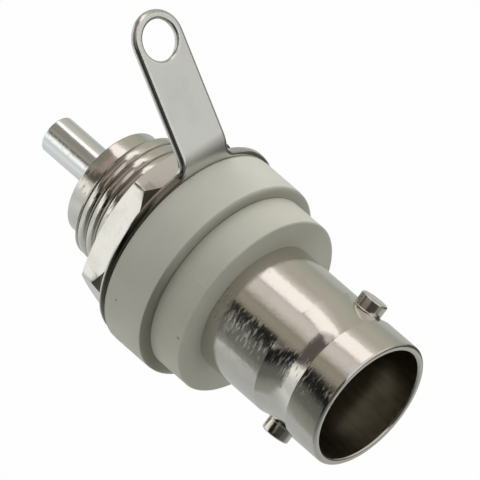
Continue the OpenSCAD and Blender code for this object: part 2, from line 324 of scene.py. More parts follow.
class Wire:
    """A node's output that takes part in sums: each sum adds a Math node."""

    def __init__(self, graph, socket):
        self.graph = graph
        self.socket = socket

    def maths(self, operation, *others):
        return self.graph.add("ShaderNodeMath", {"operation": operation}, dict(enumerate((self, *others))))

    def __add__(self, other):
        return self.maths("ADD", other)

    __radd__ = __add__

    def __mul__(self, other):
        return self.maths("MULTIPLY", other)

    __rmul__ = __mul__

    def __sub__(self, other):
        return self.maths("SUBTRACT", other)

    def __rsub__(self, other):
        return self.graph.add("ShaderNodeMath", {"operation": "SUBTRACT"}, {0: other, 1: self})

    def __truediv__(self, other):
        return self.maths("DIVIDE", other)

    def __rtruediv__(self, other):
        return self.graph.add("ShaderNodeMath", {"operation": "DIVIDE"}, {0: other, 1: self})

    def root(self):
        return self.maths("SQRT")

    def lesser(self, other):
        return self.maths("MINIMUM", other)

    def greater(self, other):
        return self.maths("MAXIMUM", other)

    def rise(self, start, end):
        """0 below start and 1 above end, with a smooth step between; start may be the greater."""
        low, high = (start, end) if start < end else (end, start)
        step = self.graph.add(
            "ShaderNodeMapRange",
            {"interpolation_type": "SMOOTHSTEP"},
            {"Value": self, "From Min": low, "From Max": high, "To Min": 0.0, "To Max": 1.0},
        )
        return step if start < end else 1 - step

    def within(self, low, high, soft):
        """1 between low and high, falling smoothly to 0 over soft on both sides."""
        return self.rise(low - soft, low) * self.rise(high + soft, high)


class Graph:
    """A node tree that is built up from Python expressions."""

    def __init__(self, tree):
        self.tree = tree
        tree.nodes.clear()

    def add(self, kind, settings=None, inputs=None, output=0):
        """Adds a node, sets its settings, fills its sockets with values or wires, and returns one output."""
        node = self.tree.nodes.new(kind)
        for key, value in (settings or {}).items():
            if key == "stops":
                ramp = node.color_ramp
                while len(ramp.elements) < len(value):
                    ramp.elements.new(0.5)
                for element, (position, shade) in zip(ramp.elements, value):
                    element.position = position
                    element.color = (*shade, 1.0)
            else:
                setattr(node, key, value)
        for key, value in (inputs or {}).items():
            socket = node.inputs[key]
            if isinstance(value, Wire):
                self.tree.links.new(value.socket, socket)
            else:
                socket.default_value = value
        return Wire(self, node.outputs[output] if len(node.outputs) else None)

    def place(self):
        """Object coordinates in millimetres: the whole vector, then x, y and z."""
        place = self.add("ShaderNodeTexCoord", output="Object")
        scaled = self.add("ShaderNodeVectorMath", {"operation": "SCALE"}, {0: place, "Scale": MM})
        return (scaled, *self.split(scaled))

    def split(self, vector):
        """A vector's x, y and z."""
        node = self.add("ShaderNodeSeparateXYZ", inputs={0: vector}).socket.node
        return [Wire(self, socket) for socket in node.outputs]

    def join(self, x, y, z):
        """A vector from its x, y and z."""
        return self.add("ShaderNodeCombineXYZ", inputs={0: x, 1: y, 2: z})

    def noise(self, vector, scale, detail=2.0, roughness=0.5):
        """Noise from 0 to 1."""
        return self.add(
            "ShaderNodeTexNoise",
            inputs={"Vector": vector, "Scale": scale, "Detail": detail, "Roughness": roughness},
        )

    def blend(self, share, first, second):
        """Mixes two colours by a share from 0 to 1."""
        settings = {"data_type": "RGBA", "blend_type": "MIX", "clamp_factor": True}
        return self.add("ShaderNodeMix", settings, {0: share, 6: first, 7: second}, 2)

    def bump(self, height, distance, normal=None):
        """A normal from a height in 0 to 1 and its real height in millimetres."""
        inputs = {"Height": height, "Distance": distance / MM, "Strength": 1.0}
        if normal:
            inputs["Normal"] = normal
        return self.add("ShaderNodeBump", inputs=inputs)


def rgba(shade, *factors):
    """A colour with its channels scaled by one factor or by three."""
    factors = factors if len(factors) == 3 else (factors or (1.0,)) * 3
    return (*[min(1.0, c * factor) for c, factor in zip(shade, factors)], 1.0)


def painted(name):
    """A new material and the graph of its nodes."""
    material = bpy.data.materials.new(name)
    material.use_nodes = True
    return material, Graph(material.node_tree)


def surface(name, recipe, **constants):
    """A material whose recipe(graph) returns what varies; constants go straight on the shader's sockets."""
    material, graph = painted(name)
    sockets = {key.replace("_", " "): value for key, value in constants.items()}
    sockets.update(recipe(graph))
    shader = graph.add("ShaderNodeBsdfPrincipled", inputs=sockets)
    graph.add("ShaderNodeOutputMaterial", inputs={"Surface": shader})
    return material


def clock_angle(x, z):
    """The angle round the jack's axis, from +Z towards +X, in radians."""
    return x.maths("ARCTAN2", z)


def plated(name, shade, gloss=0.09, tarnish=0.25, marks=1.0, mottle=1.0, bore=None, stained=0.0):
    """Nickel plating over turned brass, with painted shade inside a bore of the given radius and on faces that
    look towards the front.
    """

    def recipe(graph):
        place, x, y, z = graph.place()
        radius = (x * x + z * z).root()
        clock = clock_angle(x, z)
        # Fine rings that a lathe tool leaves: they change fast along the axis and slowly round it
        rings = graph.noise(graph.join(y * 26.0, clock * 0.35, 0.0), 1.0, 3.0, 0.6)
        cloud = graph.noise(place, 0.55, 4.0, 0.6)
        skin = graph.noise(place, 2.6, 3.0, 0.55)
        # Short rubbed marks that lie round the axis
        rubs = graph.noise(graph.join(y * 5.5, clock * 7.0, radius), 1.0)
        rubbed_side = clock.within(-1.18, -0.80, 0.10) + 0.10
        worn = graph.noise(place, 0.8).rise(0.30, 0.48) * rubbed_side
        specks = graph.noise(place, 9.0).rise(0.66, 0.74)
        dull = cloud.rise(0.45, 0.75)
        base = graph.blend(dull * tarnish, rgba(shade), rgba(shade, 0.80, 0.775, 0.70))
        base = graph.blend(specks * 0.35, base, rgba(shade, 0.55))
        rough = gloss + rings * (0.04 * marks) + dull * 0.05 + specks * 0.12
        rough = rough + rubs.rise(0.50, 0.70) * worn * (0.27 * mottle)
        if bore:
            # Painted shade inside the bore, with lighter streaks in it
            inside = radius.rise(bore + 0.29, bore + 0.22) * y.rise(-3.5, -4.5)
            streaks = graph.noise(graph.join(y * 0.5, clock * 9.0, 0.0), 1.0, 3.0, 0.6)
            bore_shade = graph.blend(streaks, (0.20, 0.175, 0.125, 1), (0.44, 0.39, 0.30, 1))
            base = graph.blend(inside, base, bore_shade)
            rough = rough + inside * 0.18
        if stained:
            # Painted shade on faces that look towards the front, for the narrow gap between the nut and the
            # lug
            facing = graph.split(graph.add("ShaderNodeTexCoord", output="Normal"))[1].rise(-0.35, -0.6)
            base = graph.blend(facing * stained, base, (0.10, 0.09, 0.06, 1))
        fine = graph.bump(rings, 0.0016 * marks)
        normal = graph.bump(skin, 0.008 * mottle, normal=graph.bump(rubs * worn, 0.005 * mottle, normal=fine))
        return {"Base Color": base, "Roughness": rough, "Normal": normal}

    return surface(name, recipe, Metallic=1.0)


def sheet_metal(name, shade):
    """Rolled and tinned sheet: satin, with faint streaks along the tab and softly dulled patches."""

    def recipe(graph):
        place, x, y, z = graph.place()
        streaks = graph.noise(graph.join(x * 14.0, y * 0.5, z * 0.5), 1.0, 3.0, 0.6)
        cloud = graph.noise(place, 0.5, 3.0, 0.55)
        pits = graph.noise(place, 7.0).rise(0.68, 0.76)
        base = graph.blend(cloud.rise(0.4, 0.75) * 0.3, rgba(shade), rgba(shade, 0.86))
        base = graph.blend(pits * 0.3, base, rgba(shade, 0.6))
        rough = 0.27 + streaks * 0.06 + cloud * 0.08
        normal = graph.bump(graph.noise(place, 3.2, 3.0, 0.55), 0.004, normal=graph.bump(streaks, 0.0010))
        return {"Base Color": base, "Roughness": rough, "Normal": normal}

    return surface(name, recipe, Metallic=1.0)


def cut_edge(name, shade):
    """The sheet's punched edge: burnished where the punch rolled it over, and darker where it is torn."""

    def recipe(graph):
        place, x, y, z = graph.place()
        torn = graph.noise(place, 5.0, 3.0, 0.6)
        base = graph.blend(torn.rise(0.4, 0.7) * 0.5, rgba(shade, 1.05), rgba(shade, 0.75, 0.72, 0.64))
        # Painted shade where the ring's edge is pressed against the disc, in the gap between them
        gap_shade = y.rise(4.12, 4.02) * z.rise(7.9, 7.4) * x.rise(1.0, -1.0)
        base = graph.blend(gap_shade * 0.92, base, (0.10, 0.085, 0.06, 1))
        return {"Base Color": base, "Roughness": 0.13 + torn * 0.08, "Normal": graph.bump(torn, 0.004)}

    return surface(name, recipe, Metallic=1.0)


def moulded(name, shade, speck, joint=None):
    """Grey moulded plastic: clouding, a satin grain, one large speck and painted shade between a joint's
    stations.
    """

    def recipe(graph):
        place, x, y, z = graph.place()
        cloud = graph.noise(place, 0.28, 3.0, 0.5)
        grain = graph.noise(place, 16.0, 2.0, 0.6)
        flow = graph.noise(graph.join(x * 1.2, y * 4.0, z * 1.2), 1.0)
        base = graph.blend(cloud.rise(0.3, 0.7), rgba(shade, 0.965), rgba(shade, 1.03))
        base = graph.blend(flow.rise(0.55, 0.8) * 0.25, base, rgba(shade, 0.93))
        dust = graph.noise(place, 5.5, 1.0, 0.5).rise(0.735, 0.77)
        base = graph.blend(dust * 0.22, base, rgba(shade, 0.55))
        centre, size, tint = speck
        away = graph.add("ShaderNodeVectorMath", {"operation": "DISTANCE"}, {0: place, 1: centre}, "Value")
        ragged = away + (graph.noise(place, 6.0) - 0.5) * (size * 0.8)
        base = graph.blend(ragged.rise(size, size * 0.35) * 0.75, base, rgba(tint))
        if joint:
            # Painted shade in the joint between the discs; most of it lies to one side, 100 degrees round from
            # the lug's tab
            low = ((x * -0.985 - z * 0.174) / (x * x + z * z).root()).rise(0.5, 0.94)
            joint_shade = y.within(*joint, 0.10) * (0.40 + low * 0.50)
            base = graph.blend(joint_shade, base, rgba(shade, 0.36, 0.34, 0.30))
        rough = 0.46 + grain * 0.10 + cloud * 0.05
        normal = graph.bump(grain, 0.0035, normal=graph.bump(graph.noise(place, 0.9), 0.02))
        return {"Base Color": base, "Roughness": rough, "Normal": normal}

    return surface(name, recipe, Specular_IOR_Level=0.38)


def waxy(name, shade):
    """White dielectric plastic, slightly clouded and a little grey towards its turned grooves."""

    def recipe(graph):
        place, x, y, z = graph.place()
        rings = graph.noise(graph.join((x * x + z * z).root() * 9.0, y * 9.0, 0.0), 1.0)
        cloud = graph.noise(place, 0.9, 3.0, 0.5)
        base = graph.blend(cloud.rise(0.35, 0.75), rgba(shade), rgba(shade, 0.9))
        base = graph.blend(rings.rise(0.5, 0.8) * 0.3, base, rgba(shade, 0.82))
        return {"Base Color": base, "Roughness": 0.42 + cloud * 0.12, "Normal": graph.bump(rings, 0.006)}

    return surface(name, recipe, Specular_IOR_Level=0.4)


# ---------------------------------------------------------------- the pieces


class JackOperator:
    """What the operators share: how they read a group's sizes and the colours."""

    bl_options = {"REGISTER", "UNDO"}

    def sizes(self, context, group):
        return Sizes(getattr(context.scene, "jack_" + group))

    def colours(self, context):
        return context.scene.jack_colours


class JACK_OT_shell(JackOperator, bpy.types.Operator):
    """Build the turned shell with its grooved barrel, flange, thread and pilot"""

    bl_idname = "jack.shell"
    bl_label = "Shell"

    def execute(self, context):
        sizes = self.sizes(context, "shell")
        pins = self.sizes(context, "pins")
        made = turned("shell_body", shell_outline(sizes, pins), full_turn(192, THREAD_TURN))
        # The groove's two rims are crisp, though they turn by little
        for edge in made.data.edges:
            ends = [made.data.vertices[i].co * MM for i in edge.vertices]
            rims = [abs(abs(end.y - MOUTH - pins.depth) - sizes.groove_length / 2) for end in ends]
            if max(rims) < WELD:
                edge.use_edge_sharp = True
        material = plated("nickel_plate", self.colours(context).nickel, bore=sizes.bore)
        finish_piece(made, "jack", "nickel_plate", material, "shell")
        return {"FINISHED"}


# Phases of the rows in one pitch, from crest to crest, dense at the sharp root
HALF_PITCH = (0.0, 0.06, 0.12, 0.18, 0.24, 0.30, 0.36, 0.41, 0.45, 0.48)
THREAD_PHASES = (*HALF_PITCH, 0.5, *(1 - phase for phase in reversed(HALF_PITCH[2:])))


def soft_thread(phase):
    """The thread's depth at a phase of its pitch, from 0 on its broad round crest to 1 in its narrow root."""
    phase %= 1.0
    off = min(phase, 1 - phase) * 2
    return 0.22 * off**2 + 0.5 * off**12


def shell_outline(sizes, pins):
    """The shell's outline at each clock angle, on which the thread's rows climb by a pitch a turn."""
    pin_y = MOUTH + pins.depth
    half = sizes.groove_length / 2
    groove_r = (half * half + sizes.groove**2) / (2 * sizes.groove)
    step_end = sizes.thread_end + (sizes.thread - CHAMFER - sizes.pilot) * CONE
    shoulder = MOUTH + sizes.shoulder
    taper_end = MOUTH + sizes.mouth_taper

    front = rounded([
        (sizes.bore, taper_end),
        (sizes.bore + sizes.mouth_lead, MOUTH, 0.16),
        (sizes.barrel, MOUTH, sizes.rim),
        (sizes.barrel, pin_y - half),
        (sizes.bore, pin_y - half),
    ])[1:-1]
    groove = []
    for k in range(1, 24):
        t = -half + sizes.groove_length * k / 24
        groove.append((sizes.barrel - sizes.groove + groove_r - math.sqrt(groove_r**2 - t * t), pin_y + t))
    flange = rounded([
        (sizes.barrel, pin_y + half),
        (sizes.barrel, FLANGE[0], 0.05),
        (FLANGE_R, FLANGE[0], 0.1),
        (FLANGE_R, FLANGE[1], 0.1),
        (sizes.thread, FLANGE[1], 0.05),
        (sizes.thread, sizes.thread_start),
    ])
    back = rounded([
        (sizes.pilot, step_end),
        (sizes.pilot, SHELL_END, 0.14),
        (CAVITY_R - LIP, SHELL_END, 0.08),
        (CAVITY_R - LIP, BEAD_END),
        (CAVITY_R, BEAD_END),
        (CAVITY_R, shoulder + sizes.web),
        (WEB_HOLE, shoulder + sizes.web),
        (WEB_HOLE, shoulder, 0.05),
        (sizes.bore, shoulder, 0.1),
        (sizes.bore, taper_end),
    ])
    pitch = sizes.pitch
    turns = int((step_end - sizes.thread_start) / pitch) + 2

    def envelope(y):
        """Radius of the blank under the thread: the cylinder, the chamfer and the step to the pilot."""
        if y <= sizes.thread_end - CHAMFER:
            return sizes.thread
        if y <= sizes.thread_end:
            return sizes.thread - (y - sizes.thread_end + CHAMFER)
        slope = (y - sizes.thread_end) / (step_end - sizes.thread_end)
        return sizes.thread - CHAMFER - slope * (sizes.thread - CHAMFER - sizes.pilot)

    def outline(angle):
        wound = (angle - THREAD_TURN) / (2 * math.pi) + THREAD_PHASE
        rows = []
        for turn in range(turns + 1):
            for phase in THREAD_PHASES:
                y = sizes.thread_start + pitch * (turn - 1 + phase + wound)
                y = min(max(y, sizes.thread_start), step_end)
                ramp = min(1.0, (y - sizes.thread_start) / pitch)
                r = sizes.thread - sizes.thread_depth * soft_thread(phase) * ramp
                rows.append((min(r, envelope(y)), y))
        return front + groove + flange + rows + back

    return outline


class JACK_OT_pins(JackOperator, bpy.types.Operator):
    """Build the two bayonet pins, each a short turned stud pressed into the barrel's wall"""

    bl_idname = "jack.pins"
    bl_label = "Bayonet pins"

    def execute(self, context):
        pins = self.sizes(context, "pins")
        shell = self.sizes(context, "shell")
        material = plated("pin_plate", self.colours(context).nickel, gloss=0.10, tarnish=0.15, mottle=0.6)
        seat = shell.barrel - shell.groove
        shank, shank_end, foot = 0.68, seat - 0.75, pins.radius + 0.04
        outline = rounded([
            (0.0, shank_end),
            (shank, shank_end),
            (shank, seat - 0.2),
            (foot, seat - 0.2),
            (foot, seat + 0.02, 0.02),
            (pins.radius, seat + 0.06, 0.02),
            (pins.radius, pins.tip, 0.13),
            (0.0, pins.tip),
        ])
        for name, node, extra in (
            ("upper_pin", "bayonet_pin_upper", 0.0),
            ("lower_pin", "bayonet_pin_lower", math.pi),
        ):
            angle = pins.angle + extra
            stud = turned(name, lambda a: outline, full_turn(72))
            outward = Vector((math.sin(angle), 0, math.cos(angle)))
            across = outward.cross(AXIS_Y)
            place = Matrix((across, outward, AXIS_Y)).transposed().to_4x4()
            stud.data.transform(Matrix.Translation((0, (MOUTH + pins.depth) / MM, 0)) @ place)
            finish_piece(stud, "jack", "nickel_plate", material, node)
        return {"FINISHED"}


class JACK_OT_insulators(JackOperator, bpy.types.Operator):
    """Build the two moulded insulating discs, with their moulding seams"""

    bl_idname = "jack.insulators"
    bl_label = "Insulators"

    def execute(self, context):
        sizes = self.sizes(context, "insulators")
        shell = self.sizes(context, "shell")
        colours = self.colours(context)
        front = [
            (shell.barrel - GAP, FRONT_FACE),
            (FRONT_R, FRONT_FACE, sizes.front_edge),
            (FRONT_R, 0.0, 0.12),
            (SLEEVE_R, 0.0, 0.05),
            (SLEEVE_R, SLEEVE_END, 0.2),
            (shell.thread + GAP, SLEEVE_END),
            (shell.thread + GAP, FLANGE[1]),
            (FLANGE_R + GAP, FLANGE[1]),
            (FLANGE_R + GAP, FLANGE[0]),
            (shell.barrel - GAP, FLANGE[0]),
        ]
        made = disc("front_disc", front, FRONT_R, math.radians(-50), sizes.flash)
        brown_speck = (on_rim(FRONT_R, -2.4, -85), 0.16, (0.20, 0.15, 0.10))
        plastic = moulded("front_plastic", colours.front_plastic, brown_speck)
        finish_piece(made, "jack", "front_plastic", plastic, "front_insulator")

        rear = [
            (COUNTERBORE_R, REAR_FACE, 0.1),
            (REAR_R, REAR_FACE, sizes.rear_edge),
            (REAR_R, REAR_BACK, 0.2),
            (shell.thread + SLIP, REAR_BACK, 0.06),
            (shell.thread + SLIP, COUNTERBORE_END),
            (COUNTERBORE_R, COUNTERBORE_END),
        ]
        made = disc("rear_disc", rear, REAR_R, math.radians(50), sizes.flash)
        grey_speck = (on_rim(REAR_R, 2.69, -88), 0.15, (0.24, 0.24, 0.22))
        # The rear disc gets painted shade where it meets the front disc
        plastic = moulded("rear_plastic", colours.rear_plastic, grey_speck, (-0.1, 0.22))
        finish_piece(made, "rear_clamp", "rear_plastic", plastic, "rear_insulator")
        return {"FINISHED"}


def disc(name, corners, edge, seam, flash):
    """A moulded disc with a seam along its edge at a clock angle and opposite it."""
    return turned(name, with_seam(rounded(corners, 7), edge, seam, flash), seam_angles(240, seam))


def on_rim(r, y, degrees_round):
    """A point at a radius, a station and a clock angle."""
    a = math.radians(degrees_round)
    return (r * math.sin(a), y, r * math.cos(a))


SEAM_HALF = math.radians(0.45)


def seam_angles(segments, seam):
    """Clock angles once round, with close ones at a moulding seam and opposite it."""
    near = [seam + turn + SEAM_HALF * k for turn in (0, math.pi) for k in (-2, -1, -0.4, 0, 0.4, 1, 2)]
    plain = full_turn(segments, seam - 0.1)
    clear = [a for a in plain if all(abs(a - n) > SEAM_HALF * 1.5 for n in near)]
    return sorted(clear + near)


def with_seam(outline, edge, seam, height):
    """An outline whose rim stands up a little at a moulding seam and opposite it."""

    def at(angle):
        off = abs((angle - seam + math.pi / 2) % math.pi - math.pi / 2)
        lift = height * max(0.0, 1 - off / SEAM_HALF)
        return [(r - height + lift if r > edge - 0.01 else r, y) for r, y in outline]

    return at


class JACK_OT_lug(JackOperator, bpy.types.Operator):
    """Cut the lug's blank from sheet, break its edges and bend its tab back"""

    bl_idname = "jack.lug"
    bl_label = "Solder lug"

    def execute(self, context):
        sizes = self.sizes(context, "lug")
        shell = self.sizes(context, "shell")
        thick = NUT_FRONT - REAR_BACK
        neutral = sizes.bend_radius + thick / 2
        bend_start = sizes.bend_height
        bend_length = neutral * sizes.bend
        bend_end = bend_start + bend_length
        eyelet_at = bend_end + sizes.reach
        work = lug_sheet(sizes, shell.thread + SLIP, eyelet_at, thick)
        # Rows across the sheet where it bends, and a few that keep its flat faces even
        steps = 16
        cuts = [bend_start + bend_length * k / steps for k in range(steps + 1)]
        cuts += [RING_R - 1.2, eyelet_at - 2.6, eyelet_at - 4.6]
        for height in cuts:
            bmesh.ops.bisect_plane(
                work,
                geom=work.verts[:] + work.edges[:] + work.faces[:],
                plane_co=(0, 0, height / MM),
                plane_no=(0, 0, 1),
            )
        middle = (REAR_BACK + NUT_FRONT) / 2
        for vertex in work.verts:
            x, y, z = vertex.co * MM
            depth = neutral - (y - middle)
            turn = min(max((z - bend_start) / neutral, 0.0), sizes.bend)
            if turn > 0:
                run = max(0.0, z - bend_end)
                z = bend_start + depth * math.sin(turn) + run * math.cos(turn)
                y = middle + neutral - depth * math.cos(turn) + run * math.sin(turn)
                vertex.co = Vector((x, y, z)) / MM
        bmesh.ops.recalc_face_normals(work, faces=work.faces)
        mesh = bpy.data.meshes.new("lug_sheet")
        work.to_mesh(mesh)
        work.free()
        made = piece("lug_sheet", mesh, sharp=30)
        shade = self.colours(context).lug
        finish_piece(made, "lug", "lug_plate", sheet_metal("lug_plate", shade), "solder_lug")
        mesh.materials.append(cut_edge("lug_edge", shade))
        return {"FINISHED"}


def lug_outline(sizes, eyelet_at, inset):
    """The blank's outline, set in by a distance: round the ring, up the tab and round the eyelet's end."""
    ring, half, fillet = RING_R - inset, sizes.width / 2 - inset, 0.8 + inset
    # Where a fillet of this radius touches both the ring and the tab's side
    rise = math.sqrt((ring + fillet) ** 2 - (half + fillet) ** 2)
    touch = math.atan2(half + fillet, rise)
    fillet_z = rise + sizes.ring_shift
    start = touch - math.pi / 2
    points = []
    for k in range(181):
        a = touch + (2 * math.pi - 2 * touch) * k / 180
        points.append((ring * math.sin(a), sizes.ring_shift + ring * math.cos(a)))
    for k in range(1, 11):
        a = start * (1 - k / 10)
        points.append((-(half + fillet) + fillet * math.cos(a), fillet_z + fillet * math.sin(a)))
    for k in range(49):
        a = math.pi - math.pi * k / 48
        points.append((half * math.cos(a), eyelet_at + half * math.sin(a)))
    for k in range(10):
        a = start * k / 10
        points.append((half + fillet - fillet * math.cos(a), fillet_z + fillet * math.sin(a)))
    return points


def lug_sheet(sizes, hole, eyelet_at, thick):
    """The flat blank as a working mesh: rounded at the front, where the punch went in, nearly sharp behind."""

    def circle(radius, height, segments):
        spokes = full_turn(segments)[:-1]
        return [(radius * math.cos(a), height + radius * math.sin(a)) for a in spokes]

    front, back = sizes.front_edge, sizes.back_edge
    # How far the loops are set in at each depth in the sheet
    arc = [math.pi / 12 * k for k in range(7)]
    levels = [(front * (1 - math.sin(a)), front * (1 - math.cos(a))) for a in arc]
    levels += [(0.0, thick - back), (back * 0.3, thick - back * 0.3), (back, thick)]
    work = bmesh.new()
    rims = ([], [])
    # Each shape takes its inset and depth; ease is the share of the front's rounding that it gets
    for shape, ease in (
        (lambda inset, depth: lug_outline(sizes, eyelet_at, inset), 1.0),
        (lambda inset, depth: circle(hole + inset, 0.0, 120), 0.4),
        (lambda inset, depth: circle(sizes.eyelet + inset + depth * sizes.break_out, eyelet_at, 72), 0.9),
    ):
        loops = []
        for inset, depth in levels:
            y = REAR_BACK + (depth * ease if depth <= front else depth)
            points = shape(inset * ease, depth)
            loops.append([work.verts.new(Vector((x, y, z)) / MM) for x, z in points])
        count = len(loops[0])
        for near, far in zip(loops, loops[1:]):
            for i in range(count):
                k = (i + 1) % count
                work.faces.new((near[i], near[k], far[k], far[i])).material_index = 1
        for rim, loop in zip(rims, (loops[0], loops[-1])):
            rim += [work.edges.get((loop[i], loop[(i + 1) % count])) for i in range(count)]
    for rim in rims:
        bmesh.ops.triangle_fill(work, use_beauty=True, use_dissolve=True, edges=rim)
    return work


class JACK_OT_nut(JackOperator, bpy.types.Operator):
    """Build the hex nut, whose chamfers cut its flats in curves"""

    bl_idname = "jack.nut"
    bl_label = "Hex nut"

    def execute(self, context):
        sizes = self.sizes(context, "nut")
        shell = self.sizes(context, "shell")
        inner = sizes.flats / 2
        bore = shell.thread + 0.04
        lead = 0.22  # chamfer at the bore
        start = inner - 0.10  # where the chamfers meet the nut's faces
        corner, soft = math.pi / 6, math.radians(0.35)

        def radius(angle):
            off = min(abs((angle - sizes.angle + corner) % (2 * corner) - corner), corner)
            # The corner itself is broken by a small round
            if corner - off < soft:
                off = corner - soft + (soft - (corner - off)) * 0.35
            return inner / math.cos(off)

        def outline(angle):
            r = radius(angle)
            front = NUT_FRONT + (r - start) * math.tan(sizes.front_chamfer)
            back = NUT_BACK - (r - start) * math.tan(sizes.back_chamfer)
            return rounded([
                (bore + lead, NUT_FRONT),
                (start, NUT_FRONT, 0.05),
                (r, front, 0.05),
                (r, back, 0.05),
                (start, NUT_BACK, 0.05),
                (bore + lead, NUT_BACK, 0.04),
                (bore, NUT_BACK - lead),
                (bore, NUT_FRONT + lead),
            ], 4)

        # Columns of points on each flat, dense towards its corners
        half = (5, 10, 15, 19, 23, 26, 28, 29.6, 29.8)
        flat = (-30, *(-k for k in reversed(half)), 0, *half)
        angles = [sizes.angle + side * math.pi / 3 + math.radians(k) for side in range(6) for k in flat]
        angles.append(angles[0] + 2 * math.pi)
        made = turned("hex_nut_body", outline, angles)
        shade = self.colours(context).nut
        # Its faces that look towards the lug get painted shade
        material = plated("nut_plate", shade, gloss=0.13, tarnish=0.2, marks=0.5, mottle=0.18, stained=0.9)
        finish_piece(made, "nut", "nut_plate", material, "hex_nut")
        return {"FINISHED"}


class JACK_OT_contact(JackOperator, bpy.types.Operator):
    """Build the centre contact with its split socket and solder tube, and the dielectrics round it"""

    bl_idname = "jack.contact"
    bl_label = "Contact and dielectrics"

    def execute(self, context):
        sizes = self.sizes(context, "contact")
        colours = self.colours(context)
        shell = self.sizes(context, "shell")
        web_back = MOUTH + shell.shoulder + shell.web
        collar_start = COLLAR - COLLAR_LENGTH
        contact = rounded([
            (sizes.socket_bore, CONTACT_TIP, 0.1),
            (sizes.socket, CONTACT_TIP, 0.14),
            (sizes.socket, collar_start),
            (COLLAR_R, collar_start),
            (COLLAR_R, COLLAR),
            (sizes.tube, COLLAR),
            (sizes.tube, TUBE_END, 0.12),
            (sizes.tube_bore, TUBE_END, 0.08),
            (sizes.tube_bore, CUP_END),
            (0.0, CUP_END - sizes.tube_bore * CONE),
            (0.0, SOCKET_END + sizes.socket_bore * CONE),
            (sizes.socket_bore, SOCKET_END),
        ])
        made = turned("contact_body", lambda a: contact, full_turn(96))
        split_socket(made, sizes.slot, sizes.socket)
        material = plated("contact_plate", colours.contact, gloss=0.13, tarnish=0.1, marks=1.3, mottle=0.6)
        finish_piece(made, "jack", "contact_plate", material, "centre_contact")

        nose = [
            (sizes.socket + LEAF_ROOM, NOSE, 0.06),
            (sizes.nose, NOSE, 0.15),
            (sizes.nose, web_back),
            (CAVITY_R - GAP, web_back, 0.1),
            (CAVITY_R - GAP, COLLAR),
            (COLLAR_R + GAP, COLLAR),
            (COLLAR_R + GAP, collar_start),
            (sizes.socket + GAP, collar_start),
            (sizes.socket + GAP, SOCKET_END),
            (sizes.socket + LEAF_ROOM, SOCKET_END),
        ]
        bead = [
            (sizes.tube + GAP, COLLAR),
            (CAVITY_R - GAP, COLLAR),
            (CAVITY_R - GAP, BEAD_END, 0.05),
            (sizes.tube + GAP, BEAD_END, 0.12),
        ]
        white = waxy("dielectric", colours.dielectric)
        for name, corners, node in (
            ("nose_body", nose, "front_dielectric"),
            ("rear_bead", bead, "rear_dielectric"),
        ):
            outline = rounded(corners)
            made = turned(name, lambda a: outline, full_turn(96))
            finish_piece(made, "jack", "dielectric", white, node)
        return {"FINISHED"}


def split_socket(made, width, radius):
    """Saws a slot through the socket's end, so that it has two leaves."""
    past = 0.3  # how far the saw stands out past the socket
    x, z = width / 2, radius + past
    low, high = CONTACT_TIP - past, SLOT_END
    corners = [(sx * x, y, sz * z) for sx in (-1, 1) for y in (low, high) for sz in (-1, 1)]
    faces = [(0, 1, 3, 2), (4, 6, 7, 5), (0, 4, 5, 1), (2, 3, 7, 6), (0, 2, 6, 4), (1, 5, 7, 3)]
    saw = solid("saw", corners, faces)
    cut = made.modifiers.new("Slot", "BOOLEAN")
    cut.object, cut.operation, cut.solver = saw, "DIFFERENCE", "EXACT"
    made.modifiers.move(1, 0)
    bpy.context.view_layer.update()
    mesh = bpy.data.meshes.new_from_object(made.evaluated_get(bpy.context.evaluated_depsgraph_get()))
    made.modifiers.remove(cut)
    made.data = mesh
    mesh.name = made.name
    mesh.set_sharp_from_angle(angle=math.radians(SHARP))
    bpy.data.objects.remove(saw)


# ---------------------------------------------------------------- the stage


def camera_frame(studio):
    """The camera's right, up and backward directions."""
    a, e, roll = studio.azimuth, studio.elevation, studio.roll
    back = Vector((math.sin(a) * math.cos(e), -math.cos(a) * math.cos(e), math.sin(e)))
    level = Vector((math.cos(a), math.sin(a), 0))
    above = back.cross(level)
    right = level * math.cos(roll) + above * math.sin(roll)
    return right, back.cross(right), back


# Light that metal mirrors from each side of the room, by clock angle round the jack's axis
MIRRORED_ROOM = (
    (-180, (0.60, 0.61, 0.59)),
    (-104, (0.85, 0.86, 0.83)),
    (-92, (1.20, 1.21, 1.17)),
    (-78, (1.22, 1.22, 1.17)),
    (-72, (1.10, 1.10, 1.05)),
    (-66, (0.50, 0.49, 0.46)),
    (-60, (0.19, 0.18, 0.16)),
    (-56, (0.12, 0.115, 0.105)),
    (-51, (0.25, 0.23, 0.19)),
    (-47, (0.36, 0.34, 0.28)),
    (-36, (0.40, 0.37, 0.315)),
    (-33, (0.29, 0.27, 0.23)),
    (-29, (0.48, 0.45, 0.40)),
    (-23, (0.70, 0.66, 0.62)),
    (-16, (0.82, 0.76, 0.74)),
    (-4, (0.78, 0.73, 0.72)),
    (-1, (0.56, 0.52, 0.51)),
    (2, (0.80, 0.75, 0.74)),
    (25, (0.86, 0.81, 0.77)),
    (32, (0.72, 0.68, 0.63)),
    (40, (0.56, 0.53, 0.48)),
    (56, (0.55, 0.54, 0.48)),
    (68, (0.50, 0.51, 0.44)),
    (84, (0.44, 0.46, 0.40)),
    (100, (0.50, 0.53, 0.50)),
    (116, (0.64, 0.65, 0.64)),
    (180, (0.60, 0.61, 0.59)),
)

# Light that falls on matt surfaces from each side of the room
SOFT_ROOM = (
    (-180, (1.36, 1.37, 1.36)),
    (-92, (1.50, 1.51, 1.49)),
    (-84, (0.16, 0.16, 0.15)),
    (-23, (0.14, 0.135, 0.125)),
    (-3, (1.75, 1.73, 1.72)),
    (50, (1.75, 1.74, 1.70)),
    (90, (1.25, 1.25, 1.23)),
    (180, (1.20, 1.20, 1.20)),
)

